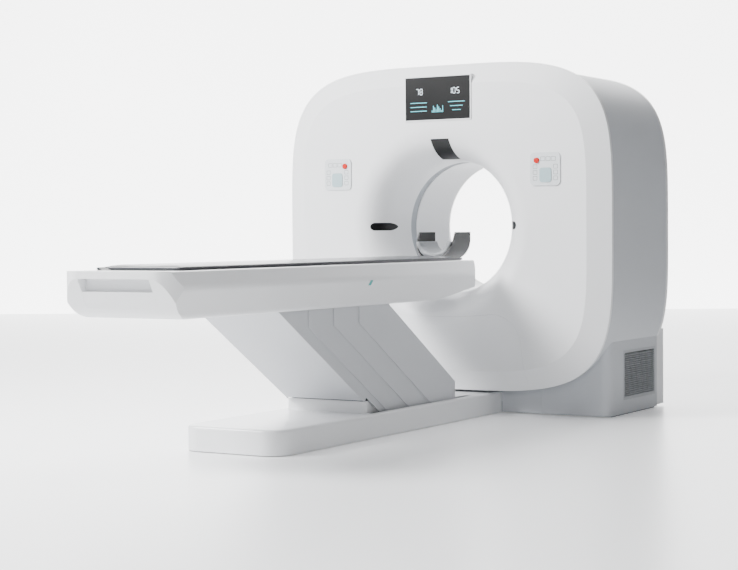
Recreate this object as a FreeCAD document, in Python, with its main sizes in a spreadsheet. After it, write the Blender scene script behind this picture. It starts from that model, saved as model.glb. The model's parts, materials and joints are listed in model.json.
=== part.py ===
import FreeCAD, Part
import math
import os
import re
import sys

V = FreeCAD.Vector
doc = FreeCAD.newDocument("ct_scanner")

# Driving dimensions, millimetres and degrees.
SIZES = [
    ("isoHeight", 1005, "height of the patient tunnel's axis"),
    ("boreRadius", 350, "patient tunnel radius"),
    ("wall", 5, "moulded cover wall"),
    ("sheetWall", 4, "casing wall"),
    ("coverMidZ", 998, "height of the centre of the cover outline"),
    ("rimHalfWidth", 976, "front cover rim"),
    ("rimHalfHeight", 868, "front cover rim"),
    ("faceHalfWidth", 859, "flat front face"),
    ("faceHalfHeight", 761, "flat front face"),
    ("faceY", -320, "front face plane"),
    ("rimY", -266, "plane where the front band meets the rim"),
    ("skirtY", -244, "back edge of the front cover"),
    ("funnelRadial", 181, "front funnel, radial half axis"),
    ("funnelAxial", 253, "front funnel, axial half axis"),
    ("slitY", -5, "end of the front funnel tube"),
    ("windowWidth", 63, "scan window ring, gap between the covers"),
    ("casingHalfWidth", 954, "upper casing"),
    ("casingHalfHeight", 846, "upper casing"),
    ("casingRearY", 531.5, "back edge of the side casings"),
    ("baseHalfWidth", 896, "lower casing"),
    ("baseFrontY", -122, "lower casing front"),
    ("baseRearY", 627, "lower rear cover back"),
    ("baseCorner", 45, "lower casing front corner radius"),
    ("floorGap", 6, "casing above the floor"),
    ("rearFaceY", 590, "upper rear face"),
    ("rearFunnel", 185, "rear funnel half axis"),
    ("ventFrontY", 64, "side vent"),
    ("ventRearY", 509, "side vent"),
    ("ventBottomZ", 76, "side vent"),
    ("ventTopZ", 340, "side vent"),
    ("rotorInner", 400, "rotating drum bore radius"),
    ("rotorOuter", 740, "rotating drum outer radius"),
    ("generatorLift", -40, "generator and balance weight above the axis"),
    ("beltWidth", 24, "drum belt"),
    ("beltThick", 6, "drum belt"),
    ("pulleyRadius", 50, "motor pulley"),
    ("motorX", 620, "drive motor offset, same sideways and down"),
    ("ballCount", 48, "main bearing balls"),
    ("ballRadius", 11, "main bearing balls"),
    ("ballTrack", 460, "main bearing pitch radius"),
    ("displayWidth", 404, "display housing"),
    ("displayHeight", 240, "display housing"),
    ("displayZ", 1687, "display centre height"),
    ("panelX", 630.6, "control panel centre"),
    ("panelZ", 1294.5, "control panel centre"),
    ("panelWidth", 170, "control panel"),
    ("panelHeight", 171, "control panel"),
    ("stopRadius", 15, "red stop button"),
    ("padSize", 66, "table movement pad"),
    ("tableHalfWidth", 272, "table base cover"),
    ("tableFootY", -2245, "foot end of the table base"),
    ("tableBaseHeight", 116, "table base cover"),
    ("linkAngle", 32.6, "rest angle of the lift links above the floor"),
    ("linkLength", 770, "lift link, pivot to pivot"),
    ("pivotZ", 192, "lower pivots above the floor"),
    ("footArmY", -975, "lower pivot of the arm nearer the foot"),
    ("gantryArmY", -720, "lower pivot of the arm nearer the gantry"),
    ("trunnion", 14, "arm trunnion radius"),
    ("pinRadius", 6, "slat pin radius"),
    ("runFit", 0.3, "running clearance"),
    ("shellHalfWidth", 300, "table housing at its crease"),
    ("shellCreaseZ", 760, "table housing crease height"),
    ("shellTopZ", 826, "table housing deck"),
    ("shellBottomZ", 630, "table housing underside"),
    ("shellFootY", -3024, "foot end of the table housing"),
    ("shellNoseY", -413, "gantry end of the table housing"),
    ("cradleHalfWidth", 215, "patient cradle"),
    ("cradleFootY", -2865, "patient cradle"),
    ("cradleNoseY", -455, "patient cradle"),
    ("cradleBottomZ", 806, "patient cradle"),
    ("anchorX", 1400, "gantry anchor spacing across"),
    ("anchorY", 500, "gantry anchor spacing along"),
    ("anchorRadius", 9, "anchor hole radius"),
]
sheet = doc.addObject("Spreadsheet::Sheet", "Sizes")
for row, (alias, value, note) in enumerate(SIZES, start=1):
    sheet.set(f"A{row}", note)
    sheet.set(f"B{row}", str(value))
    sheet.setAlias(f"B{row}", alias)
doc.recompute()
NAMES = {alias for alias, value, note in SIZES}


class Sizes:
    """Plain numbers read back from the sheet."""


s = Sizes()
for alias in NAMES:
    setattr(s, alias, float(getattr(sheet, alias)))


def formula(text):
    """Puts the sheet's name before every alias in a formula."""
    return re.sub(r"[A-Za-z_]\w*", lambda m: "Sizes." + m.group() if m.group() in NAMES else m.group(), str(text))


def bind(obj, **formulas):
    for prop, text in formulas.items():
        obj.setExpression(prop.replace("__", "."), formula(text))
    return obj


def place(obj, x, y, z):
    bind(obj, Placement__Base__x=x, Placement__Base__y=y, Placement__Base__z=z)
    return obj


counter = {}


def helperName(stem):
    counter[stem] = counter.get(stem, 0) + 1
    return f"{stem}_{counter[stem]}"


def box(x0, x1, y0, y1, z0, z1, name=None):
    """A box between two corners, each given as a formula."""
    obj = doc.addObject("Part::Box", name or helperName("Block"))
    bind(obj, Length=f"({x1}) - ({x0})", Width=f"({y1}) - ({y0})", Height=f"({z1}) - ({z0})")
    return place(obj, x0, y0, z0)


AXES = {"X": V(1, 0, 0), "Y": V(0, 1, 0), "Z": V(0, 0, 1)}
TURNS = {"X": FreeCAD.Rotation(V(0, 1, 0), 90), "Y": FreeCAD.Rotation(V(1, 0, 0), -90), "Z": FreeCAD.Rotation()}


def rod(axis, radius, length, x, y, z, name=None):
    """A cylinder that starts at a point and runs along +X, +Y or +Z."""
    obj = doc.addObject("Part::Cylinder", name or helperName("Rod"))
    obj.Placement = FreeCAD.Placement(V(0, 0, 0), TURNS[axis])
    bind(obj, Radius=radius, Height=length)
    return place(obj, x, y, z)


def fuse(name, parts):
    obj = doc.addObject("Part::MultiFuse", name)
    obj.Shapes = parts
    obj.Refine = True
    return obj


def cut(name, base, tools):
    obj = doc.addObject("Part::Cut", name)
    obj.Base = base
    obj.Tool = tools[0] if len(tools) == 1 else fuse(helperName("Tools"), tools)
    obj.Refine = True
    return obj


def common(name, base, tool):
    obj = doc.addObject("Part::Common", name)
    obj.Base = base
    obj.Tool = tool
    obj.Refine = True
    return obj


def shaped(name, shape):
    """A feature whose shape is worked out here from the sheet's numbers."""
    obj = doc.addObject("Part::Feature", name)
    obj.Shape = shape
    return obj


def partBox(x0, x1, y0, y1, z0, z1):
    return Part.makeBox(x1 - x0, y1 - y0, z1 - z0, V(x0, y0, z0))


# ---------------------------------------------------------------- PartDesign helpers
def newBody(name):
    return doc.addObject("PartDesign::Body", name)


def newSketch(body, role, offset="0"):
    plane = next(f for f in body.Origin.OriginFeatures if f.Role == role)
    sketch = body.newObject("Sketcher::SketchObject", helperName("Sketch"))
    sketch.AttachmentSupport = [(plane, "")]
    sketch.MapMode = "FlatFace"
    sketch.setExpression("AttachmentOffset.Base.z", formula(offset))
    return sketch


def circle(sketch, radius, x="0", y="0"):
    """A circle whose centre and radius follow the sheet."""
    import Sketcher
    index = sketch.addGeometry(Part.Circle(V(evaluate(x), evaluate(y), 0), V(0, 0, 1), evaluate(radius)), False)
    for kind, args, text in (("Radius", (index,), radius), ("DistanceX", (-1, 1, index, 3), x),
                             ("DistanceY", (-1, 1, index, 3), y)):
        place = sketch.addConstraint(Sketcher.Constraint(kind, *args, evaluate(text)))
        sketch.setExpression(f"Constraints[{place}]", formula(text))


def rectangle(sketch, x0, x1, y0, y1):
    """A rectangle whose opposite corners follow the sheet."""
    import Sketcher
    a, b, c, d = evaluate(x0), evaluate(x1), evaluate(y0), evaluate(y1)
    points = [V(a, c, 0), V(b, c, 0), V(b, d, 0), V(a, d, 0)]
    first = sketch.GeometryCount
    for i in range(4):
        sketch.addGeometry(Part.LineSegment(points[i], points[(i + 1) % 4]), False)
    for i in range(4):
        sketch.addConstraint(Sketcher.Constraint("Coincident", first + i, 2, first + (i + 1) % 4, 1))
    for i, kind in enumerate(("Horizontal", "Vertical", "Horizontal", "Vertical")):
        sketch.addConstraint(Sketcher.Constraint(kind, first + i))
    for kind, edge, text in (("DistanceX", 0, x0), ("DistanceY", 0, y0), ("DistanceX", 2, x1), ("DistanceY", 2, y1)):
        place = sketch.addConstraint(Sketcher.Constraint(kind, -1, 1, first + edge, 1, evaluate(text)))
        sketch.setExpression(f"Constraints[{place}]", formula(text))


def evaluate(text):
    """The number that a formula of sheet names gives now."""
    value = str(text)
    probe = doc.getObject("Probe") or doc.addObject("App::FeaturePython", "Probe")
    if not hasattr(probe, "number"):
        probe.addProperty("App::PropertyFloat", "number")
    probe.setExpression("number", formula(value))
    probe.recompute()
    return float(probe.number)


def pad(body, sketch, length):
    feature = body.newObject("PartDesign::Pad", helperName("Pad"))
    feature.Profile = sketch
    feature.setExpression("Length", formula(length))
    return feature


def pocket(body, sketch, length):
    feature = body.newObject("PartDesign::Pocket", helperName("Pocket"))
    feature.Profile = sketch
    feature.setExpression("Length", formula(length))
    return feature


def revolution(body, sketch):
    feature = body.newObject("PartDesign::Revolution", helperName("Revolution"))
    feature.Profile = sketch
    feature.ReferenceAxis = (sketch, ["H_Axis"])
    feature.Angle = 360
    return feature


def ring(name, inner, outer, y0, y1, z="isoHeight", x="0"):
    """A ring about a line along Y: a profile in the XY plane turned about the sketch's own axis."""
    body = newBody(name)
    sketch = newSketch(body, "XZ_Plane", f"0 - ({y1})")
    circle(sketch, outer, x, z)
    circle(sketch, inner, x, z)
    pad(body, sketch, f"({y1}) - ({y0})")
    return body


# ---------------------------------------------------------------- outlines and shells
COVER_POWER = 4.3
FACE_POWER = 4.6
OUTLINE_STEPS = 64


def squircle(halfWidth, halfHeight, power, y, midZ=None):
    """A closed smooth outline |x/a|^n + |z/b|^n = 1 in a plane across Y."""
    midZ = s.coverMidZ if midZ is None else midZ
    points = []
    for step in range(OUTLINE_STEPS):
        angle = 2 * math.pi * step / OUTLINE_STEPS
        c, w = math.cos(angle), math.sin(angle)
        reach = (abs(c) ** power + abs(w) ** power) ** (-1 / power)
        points.append(V(halfWidth * c * reach, y, midZ + halfHeight * w * reach))
    curve = Part.BSplineCurve()
    curve.interpolate(points, PeriodicFlag=True)
    return Part.Wire([curve.toShape()])


def prism(wire, length):
    return Part.Face(wire).extrude(V(0, length, 0))


def loft(wireA, wireB):
    return Part.makeLoft([wireA, wireB], True, True)


def tunnel(radius, y0, y1):
    return Part.makeCylinder(radius, y1 - y0, V(0, y0, s.isoHeight), V(0, 1, 0))


def funnel(radial, axial, faceY, tubeEndY):
    """A ring-shaped shell: a tube that opens along a quarter ellipse up to the face."""
    towards = 1 if faceY > tubeEndY else -1
    mouth = faceY - towards * axial
    iso = s.isoHeight
    centre = V(s.boreRadius + radial, mouth, iso)

    def quarter(inset):
        axis, side = axial - inset, radial - inset
        major, minor = (axis, side) if axis >= side else (side, axis)
        points = []
        for step in range(13):
            angle = math.pi / 2 * step / 12
            points.append(centre + V(-side * math.cos(angle), towards * axis * math.sin(angle), 0))
        curve = Part.BSplineCurve()
        curve.interpolate(points)
        return curve.toShape(), points[0], points[-1]

    seen, seenTube, seenFace = quarter(0)
    back, backTube, backFace = quarter(s.wall)
    tubeInner, tubeOuter = V(s.boreRadius, tubeEndY, iso), V(s.boreRadius + s.wall, tubeEndY, iso)
    edges = [
        seen, Part.LineSegment(seenFace, backFace).toShape(), back,
        Part.LineSegment(backTube, tubeOuter).toShape(), Part.LineSegment(tubeOuter, tubeInner).toShape(),
        Part.LineSegment(tubeInner, seenTube).toShape(),
    ]
    wire = Part.Wire(Part.__sortEdges__(edges))
    return Part.Face(wire).revolve(V(0, 0, iso), V(0, 1, 0), 360)


# ---------------------------------------------------------------- gantry frame and drum
def gantryBase():
    """Steel floor plate with four anchor holes."""
    midY = "(baseFrontY + 327)"
    plate = box("0 - (baseHalfWidth - sheetWall - 0.4)", "baseHalfWidth - sheetWall - 0.4", "baseFrontY + 45",
                "baseFrontY + 622", 0, 60)
    tools = []
    for x in (-1, 1):
        for y in (-1, 1):
            tools.append(rod("Z", "anchorRadius", 80, f"{x} * anchorX / 2", f"{midY} + {y} * anchorY / 2", -10))
    return cut("gantry_base", plate, tools)


def statorFrame():
    """Upright steel plate with the bearing seat, two buttresses and the motor hole."""
    y0, y1 = 190.0, 250.0
    outline = [(-700, 60), (700, 60), (700, 520), (600, 620), (600, 1480), (520, 1560), (-520, 1560),
               (-600, 1480), (-600, 620), (-700, 520)]
    points = [V(x, y0, z) for x, z in outline]
    plate = Part.Face(Part.makePolygon(points + points[:1])).extrude(V(0, y1 - y0, 0))
    plate = plate.cut(tunnel(s.ballTrack + 40 + s.runFit, y0 - 1, y1 + 1))
    hole = Part.makeCylinder(30, 80, V(s.motorX, y0 - 10, s.isoHeight - s.motorX), V(0, 1, 0))
    plate = plate.cut(hole)
    for x in (-560, 490):
        wedge = Part.makePolygon([V(x, y1, 60), V(x, 490, 60), V(x, y1, 460), V(x, y1, 60)])
        rib = Part.Face(wedge).extrude(V(20, 0, 0))
        plate = plate.fuse(rib)
    return shaped("stator_frame", plate.removeSplitter())


def bearingRace(name, inner, outer):
    """A race with a groove for the balls."""
    grooveY = 220.0
    body = Part.makeCylinder(outer, 50, V(0, grooveY - 25, s.isoHeight), V(0, 1, 0))
    body = body.cut(Part.makeCylinder(inner, 52, V(0, grooveY - 26, s.isoHeight), V(0, 1, 0)))
    groove = Part.makeTorus(s.ballTrack, s.ballRadius + s.runFit, V(0, grooveY, s.isoHeight), V(0, 1, 0))
    return shaped(name, body.cut(groove))


def bearingBalls():
    balls = []
    for index in range(int(s.ballCount)):
        angle = 2 * math.pi * index / s.ballCount
        centre = V(s.ballTrack * math.cos(angle), 220, s.isoHeight + s.ballTrack * math.sin(angle))
        balls.append(Part.makeSphere(s.ballRadius, centre))
    return shaped("bearing_balls", Part.Compound(balls))


def rotorDrum():
    """Aluminium disc with a belt rim, a hub through the bearing and a cast balance weight."""
    body = newBody("rotor_drum")
    disc = newSketch(body, "XZ_Plane", "0 - 130")
    circle(disc, "rotorOuter", "0", "isoHeight")
    circle(disc, "rotorInner", "0", "isoHeight")
    pad(body, disc, 30)
    rim = newSketch(body, "XZ_Plane", "0 - 166")
    circle(rim, "rotorOuter", "0", "isoHeight")
    circle(rim, "rotorOuter - 30", "0", "isoHeight")
    pad(body, rim, 40)
    hub = newSketch(body, "XZ_Plane", "0 - 300")
    circle(hub, "ballTrack - 35 - runFit", "0", "isoHeight")
    circle(hub, "rotorInner", "0", "isoHeight")
    pad(body, hub, 172)
    weight = newSketch(body, "XZ_Plane", "0 - 101")
    rectangle(weight, "0 - 690", "0 - 450", "isoHeight - 160 + generatorLift", "isoHeight + 160 + generatorLift")
    pad(body, weight, 221)
    return body


def detectorArc():
    """A curved detector row centred on the tube's focal spot."""
    focus = V(0, -70, s.isoHeight + 560)
    inner, outer, half = 1030.0, 1090.0, math.radians(25)

    def point(radius, angle):
        return focus + V(radius * math.sin(angle), 0, -radius * math.cos(angle))

    edges = [
        Part.Arc(point(inner, -half), point(inner, 0), point(inner, half)).toShape(),
        Part.LineSegment(point(inner, half), point(outer, half)).toShape(),
        Part.Arc(point(outer, half), point(outer, 0), point(outer, -half)).toShape(),
        Part.LineSegment(point(outer, -half), point(inner, -half)).toShape(),
    ]
    return shaped("detector_arc", Part.Face(Part.Wire(edges)).extrude(V(0, 170, 0)))


def xrayTube():
    housing = rod("Y", 100, 250, 0, -150, "isoHeight + 600")
    neck = rod("Y", 60, 40, 0, -190, "isoHeight + 600")
    return fuse("xray_tube", [housing, neck])


def collimator():
    block = box(-90, 90, -50, 100, "isoHeight + 430", "isoHeight + 499.7")
    slot = box(-70, 70, -6, 6, "isoHeight + 425", "isoHeight + 505")
    return cut("collimator", block, [slot])


def beltLoop(centreA, radiusA, centreB, radiusB, y, depth):
    """The filled outline of a tight loop round two circles."""
    gap = centreB.sub(centreA)
    distance = gap.Length
    tilt = math.acos((radiusA - radiusB) / distance)
    heading = math.atan2(gap.z, gap.x)

    def on(centre, radius, angle):
        return V(centre.x + radius * math.cos(angle), y, centre.z + radius * math.sin(angle))

    up, down = heading + tilt, heading - tilt
    edges = [
        Part.Arc(on(centreA, radiusA, up), on(centreA, radiusA, heading + math.pi), on(centreA, radiusA, down)).toShape(),
        Part.LineSegment(on(centreA, radiusA, down), on(centreB, radiusB, down)).toShape(),
        Part.Arc(on(centreB, radiusB, down), on(centreB, radiusB, heading), on(centreB, radiusB, up)).toShape(),
        Part.LineSegment(on(centreB, radiusB, up), on(centreA, radiusA, up)).toShape(),
    ]
    return Part.Face(Part.Wire(edges)).extrude(V(0, depth, 0))


def driveBelt():
    drum = V(0, 0, s.isoHeight)
    motor = V(s.motorX, 0, s.isoHeight - s.motorX)
    clear, thick = s.runFit, s.beltThick
    outer = beltLoop(drum, s.rotorOuter + clear + thick, motor, s.pulleyRadius + clear + thick, 136, s.beltWidth)
    inner = beltLoop(drum, s.rotorOuter + clear, motor, s.pulleyRadius + clear, 135, s.beltWidth + 2)
    return shaped("drive_belt", outer.cut(inner))


def driveMotor():
    x, z = "motorX", "isoHeight - motorX"
    return fuse("drive_motor", [rod("Y", 70, 170, x, 250, z), rod("Y", 29.5, 60, x, 191, z),
                                box("motorX - 60", "motorX + 60", 300, 380, "isoHeight - motorX - 90",
                                    "isoHeight - motorX")])


def motorPulley():
    body = newBody("motor_pulley")
    face = newSketch(body, "XZ_Plane", "0 - 164")
    circle(face, "pulleyRadius", "motorX", "isoHeight - motorX")
    pad(body, face, 32)
    shaft = newSketch(body, "XZ_Plane", "0 - 190.7")
    circle(shaft, 14, "motorX", "isoHeight - motorX")
    pad(body, shaft, 40)
    return body


def gantryInside():
    gantryBase()
    statorFrame()
    bearingRace("bearing_outer_race", s.ballTrack + 5, s.ballTrack + 40)
    bearingRace("bearing_inner_race", s.ballTrack - 35, s.ballTrack - 5)
    bearingBalls()
    rotorDrum()
    xrayTube()
    collimator()
    box(450, 690, -120, 100, "isoHeight - 160 + generatorLift", "isoHeight + 160 + generatorLift", "hv_generator")
    detectorArc()
    ring("slip_ring", "rotorInner", 520, 300, 322)
    driveMotor()
    motorPulley()
    driveBelt()


# ---------------------------------------------------------------- covers
SEAM = 0.7


def windowRegions():
    """Prisms that mark the three dark windows in the front funnel."""
    iso = s.isoHeight
    top = partBox(-55, 55, s.faceY - 10, -100, iso + 361, iso + 467)
    half, inner, outer = 21.5, 357.0, 446.0
    pill = partBox(inner + half, outer - half, s.faceY - 10, -100, iso - half, iso + half)
    for x in (inner + half, outer - half):
        pill = pill.fuse(Part.makeCylinder(half, -100 - (s.faceY - 10), V(x, s.faceY - 10, iso), V(0, 1, 0)))
    pill = pill.removeSplitter()
    return {"top_window": top, "right_laser_window": pill,
            "left_laser_window": pill.mirror(V(0, 0, 0), V(1, 0, 0))}


def shrunk(shape, gap):
    """The shape smaller by a gap all round its own centre."""
    bounds = shape.BoundBox
    centre = bounds.Center
    matrix = FreeCAD.Matrix()
    matrix.move(centre.negative())
    matrix.scale(V(1 - 2 * gap / bounds.XLength, 1, 1 - 2 * gap / bounds.ZLength))
    matrix.move(centre)
    return shape.transformGeometry(matrix)


def dockingOutline(inset):
    """Outline of the lower patch panel: straight sides, large top corners and a dip in the middle."""
    half, top, dip, corner = 486 - inset, 541 - inset, 20, 150
    y = s.faceY - 20
    spread = 32
    bottom = s.coverMidZ - s.rimHalfHeight - 20
    edges = [
        Part.LineSegment(V(-half - spread, y, bottom), V(-half, y, top - corner - 30)).toShape(),
        Part.Arc(V(-half, y, top - corner - 30), V(-half + 42, y, top - 62), V(-half + 170, y, top - 3)).toShape(),
        Part.Arc(V(-half + 170, y, top - 3), V(0, y, top - dip), V(half - 170, y, top - 3)).toShape(),
        Part.Arc(V(half - 170, y, top - 3), V(half - 42, y, top - 62), V(half, y, top - corner - 30)).toShape(),
        Part.LineSegment(V(half, y, top - corner - 30), V(half + spread, y, bottom)).toShape(),
        Part.LineSegment(V(half + spread, y, bottom), V(-half - spread, y, bottom)).toShape(),
    ]
    return Part.Face(Part.Wire(edges)).extrude(V(0, 300, 0))


def frontCover():
    """Dished front cover with its funnel, the dark windows and the lower patch panel cut from it."""
    w = s.wall
    rim = squircle(s.rimHalfWidth, s.rimHalfHeight, COVER_POWER, s.rimY)
    face = squircle(s.faceHalfWidth, s.faceHalfHeight, FACE_POWER, s.faceY)
    outer = loft(face, rim).fuse(prism(rim, s.skirtY - s.rimY))
    rimIn = squircle(s.rimHalfWidth - w, s.rimHalfHeight - w, COVER_POWER, s.rimY + w / 2)
    faceIn = squircle(s.faceHalfWidth - w, s.faceHalfHeight - w, FACE_POWER, s.faceY + w)
    inner = loft(faceIn, rimIn).fuse(prism(rimIn, s.skirtY - w - s.rimY - w / 2))
    mouth = squircle(s.casingHalfWidth - 14, s.casingHalfHeight - 14, COVER_POWER, s.skirtY - w - 1)
    shell = outer.cut(inner).cut(prism(mouth, w + 5))
    shell = shell.cut(tunnel(s.boreRadius + s.funnelRadial, s.faceY - 1, s.faceY + 30))
    shell = shell.fuse(funnel(s.funnelRadial, s.funnelAxial, s.faceY, s.slitY))
    for name, region in windowRegions().items():
        shaped(name, shell.common(shrunk(region, SEAM)))
        shell = shell.cut(region)
    shaped("docking_panel", shell.common(dockingOutline(SEAM)))
    shell = shell.cut(dockingOutline(0))
    halfW, halfH = s.displayWidth / 2 + SEAM, s.displayHeight / 2 + SEAM
    shell = shell.cut(partBox(-halfW, halfW, s.faceY - 20, s.faceY + 70, s.displayZ - halfH, s.displayZ + halfH))
    halfW, halfH = s.panelWidth / 2 - 6, s.panelHeight / 2 - 6
    for side in (-1, 1):
        x = side * s.panelX
        shell = shell.cut(partBox(x - halfW, x + halfW, s.faceY - 9, s.faceY + 40, s.panelZ - halfH, s.panelZ + halfH))
    return shaped("front_cover", shell)


def casingSolid(inset):
    """The body's outline: an upper squircle on a straight-sided lower box."""
    front, rear = s.skirtY - inset * 3, s.casingRearY + inset * 3
    upper = prism(squircle(s.casingHalfWidth - inset, s.casingHalfHeight - inset, COVER_POWER, front), rear - front)
    half = s.baseHalfWidth - inset
    bottom = s.floorGap - inset * 3
    lower = partBox(-half, half, s.baseFrontY + inset, rear, bottom, s.coverMidZ)
    corners = [e for e in lower.Edges if abs(e.CenterOfMass.y - (s.baseFrontY + inset)) < 0.01
               and abs(abs(e.CenterOfMass.x) - half) < 0.01]
    lower = lower.makeFillet(s.baseCorner - inset, corners)
    return upper.fuse(lower)


def sideCasings():
    """Left and right casings that meet at the top, with a vent in each and an opening for the front panel."""
    shell = casingSolid(0).cut(casingSolid(s.sheetWall))
    vent = partBox(-2000, 2000, s.ventFrontY, s.ventRearY, s.ventBottomZ, s.ventTopZ)
    shell = shell.cut(vent)
    panelHalf, panelTop = 505.0, 150.0
    opening = partBox(-panelHalf, panelHalf, s.baseFrontY - 1, s.baseFrontY + 30, -10, panelTop)
    panel = shell.common(opening)
    panel = panel.common(partBox(-panelHalf + SEAM, panelHalf - SEAM, s.baseFrontY - 1, s.baseFrontY + 30, -10,
                                 panelTop - SEAM))
    notch = partBox(-s.tableHalfWidth - 2, s.tableHalfWidth + 2, s.baseFrontY - 2, s.baseFrontY + 40, -10, 62)
    shaped("base_front_panel", panel.cut(notch))
    shell = shell.cut(opening)
    shaped("right_casing", shell.common(partBox(SEAM / 2, 2000, -500, 900, -10, 3000)))
    shaped("left_casing", shell.common(partBox(-2000, -SEAM / 2, -500, 900, -10, 3000)))


def grille(name, side):
    """A louvred frame that fills the vent."""
    gap, frame, depth = 0.5, 14, 10
    outerX = s.baseHalfWidth
    y0, y1, z0, z1 = s.ventFrontY + gap, s.ventRearY - gap, s.ventBottomZ + gap, s.ventTopZ - gap
    body = partBox(outerX - depth, outerX, y0, y1, z0, z1)
    body = body.cut(partBox(outerX - depth - 1, outerX + 1, y0 + frame, y1 - frame, z0 + frame, z1 - frame))
    pitch = 11.0
    count = int((z1 - z0 - 2 * frame) / pitch)
    blades = []
    for index in range(count):
        z = z0 + frame + pitch * (index + 0.5)
        corners = [V(outerX - depth, y0 + frame, z - 1), V(outerX - 1, y0 + frame, z - 5),
                   V(outerX - 1, y0 + frame, z - 2), V(outerX - depth, y0 + frame, z + 2)]
        blade = Part.Face(Part.makePolygon(corners + corners[:1])).extrude(V(0, y1 - y0 - 2 * frame, 0))
        blades.append(blade)
    body = body.fuse(blades)
    if side < 0:
        body = body.mirror(V(0, 0, 0), V(1, 0, 0))
    return shaped(name, body)


def rearSolid(inset):
    w = inset
    front = s.casingRearY + 0.5 - w * 3
    rimEnd = 560.0
    rim = squircle(s.casingHalfWidth - w, s.casingHalfHeight - w, COVER_POWER, front)
    upper = prism(rim, rimEnd - front)
    rimBack = squircle(s.casingHalfWidth - w, s.casingHalfHeight - w, COVER_POWER, rimEnd)
    face = squircle(s.casingHalfWidth - 84 - w, s.casingHalfHeight - 84 - w, FACE_POWER, s.rearFaceY - w)
    upper = upper.fuse(loft(rimBack, face))
    half = s.baseHalfWidth - w
    lowerTop = 430.0
    lower = partBox(-half, half, front, s.baseRearY - w, s.floorGap + 8 - w * 3, lowerTop - w)
    return upper.fuse(lower)


def rearCover():
    shell = rearSolid(0).cut(rearSolid(s.wall))
    shell = shell.cut(tunnel(s.boreRadius + s.rearFunnel, s.rearFaceY - 30, s.rearFaceY + 1))
    start = s.slitY + s.windowWidth
    shell = shell.fuse(funnel(s.rearFunnel, s.rearFunnel, s.rearFaceY, start))
    return shaped("rear_cover", shell)


def scanWindow():
    """Thin ring behind the gap between the two tunnel tubes."""
    inner = "boreRadius + wall + runFit"
    return ring("scan_window", inner, f"{inner} + 2.5", "slitY - 8", "slitY + windowWidth + 8")


def displayUnit():
    w, h = "displayWidth / 2", "displayHeight / 2"
    housing = box(f"0 - {w}", w, "faceY - 4", "faceY + 50", f"displayZ - {h}", f"displayZ + {h}")
    seat = box(f"6 - {w}", f"{w} - 6", "faceY - 5", "faceY - 0.5", f"displayZ - {h} + 6", f"displayZ + {h} - 6")
    cut("display_housing", housing, [seat])
    box(f"6.3 - {w}", f"{w} - 6.3", "faceY - 4.2", "faceY - 0.8", f"displayZ - {h} + 6.3", f"displayZ + {h} - 6.3",
        "display_glass")


def roundedPlate(x, z, width, height, corner, y0, y1):
    plate = partBox(x - width / 2, x + width / 2, y0, y1, z - height / 2, z + height / 2)
    upright = [e for e in plate.Edges if abs(e.tangentAt(e.FirstParameter).y) > 0.9]
    return plate.makeFillet(corner, upright)


def controlPanel(side, word):
    """A rounded panel on the front face, with a stop button and a movement pad that travel into it."""
    x = side * s.panelX
    stopX, stopZ = side * (s.panelX - 47), s.panelZ + 44.5
    padX, padZ = x + side * 3, s.panelZ - 31
    front = s.faceY - 6
    plate = roundedPlate(x, s.panelZ, s.panelWidth, s.panelHeight, 24, front, s.faceY)
    plate = plate.fuse(roundedPlate(x, s.panelZ, s.panelWidth - 14, s.panelHeight - 14, 18, s.faceY, s.faceY + 12))
    gap = 0.4
    plate = plate.cut(Part.makeCylinder(s.stopRadius + gap, 15, V(stopX, front - 1, stopZ), V(0, 1, 0)))
    plate = plate.cut(roundedPlate(padX, padZ, s.padSize + 2 * gap, s.padSize + 8 + 2 * gap, 14, front - 1, front + 10))
    shaped(f"{word}_control_panel", plate.removeSplitter())
    stop = Part.makeCylinder(s.stopRadius, 16, V(stopX, front - 7, stopZ), V(0, 1, 0))
    lip = [e for e in stop.Edges if abs(e.CenterOfMass.y - (front - 7)) < 0.01 and e.Length > 10]
    shaped(f"{word}_stop_button", stop.makeFillet(2.5, lip[:1]))
    pad_ = roundedPlate(padX, padZ, s.padSize, s.padSize + 8, 13.6, front - 3, front + 6)
    shaped(f"{word}_table_pad", pad_)


def gantryCovers():
    frontCover()
    sideCasings()
    grille("right_grille", 1)
    grille("left_grille", -1)
    rearCover()
    scanWindow()
    displayUnit()
    controlPanel(1, "right")
    controlPanel(-1, "left")


# ---------------------------------------------------------------- table base and lift
PHI = math.radians(s.linkAngle)
RISE = s.linkLength * math.sin(PHI)
RUN = s.linkLength * math.cos(PHI)
SLOPE = 1 / math.tan(PHI)
UPPER_Z = s.pivotZ + RISE
# Lower pivots of the foot cover, three slats and the gantry-side cover.
FOOT_COVER_Y, GANTRY_COVER_Y = -1448.0, -562.0
SLAT_LINES = [(-1700.0, -1440.0), (-1498.0, -1225.0), (-1283.5, -887.0)]
LINE_Z = 400.0
SLAT_LAYERS = [222.0, 227.0, 232.0]
SLAT_THICK = 3.0
FROM_BACK = [16.0, 18.0, 80.0]
PIN_DEPTH, PIN_SHORT = 2.0, 0.3
FOOT_FLANGE_X, GANTRY_FLANGE_X = 217.0, 210.0
PLATE_IN, PLATE_OUT = 178.0, 190.0
PLINTH_FOOT_Y = -1440.0


def slatPivot(index):
    """Each slat swings on pins near its gantry-side edge, clear of its neighbour all the way down."""
    return SLAT_LINES[index][1] - FROM_BACK[index] + (LINE_Z - s.pivotZ) * SLOPE


PIN_FACES = [(FOOT_COVER_Y, FOOT_FLANGE_X)] + [(slatPivot(i), SLAT_LAYERS[i]) for i in range(3)]
PIN_FACES.append((GANTRY_COVER_Y, GANTRY_FLANGE_X))
PIN_ENDS = [(y, face + PIN_DEPTH - PIN_SHORT) for y, face in PIN_FACES]


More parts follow.
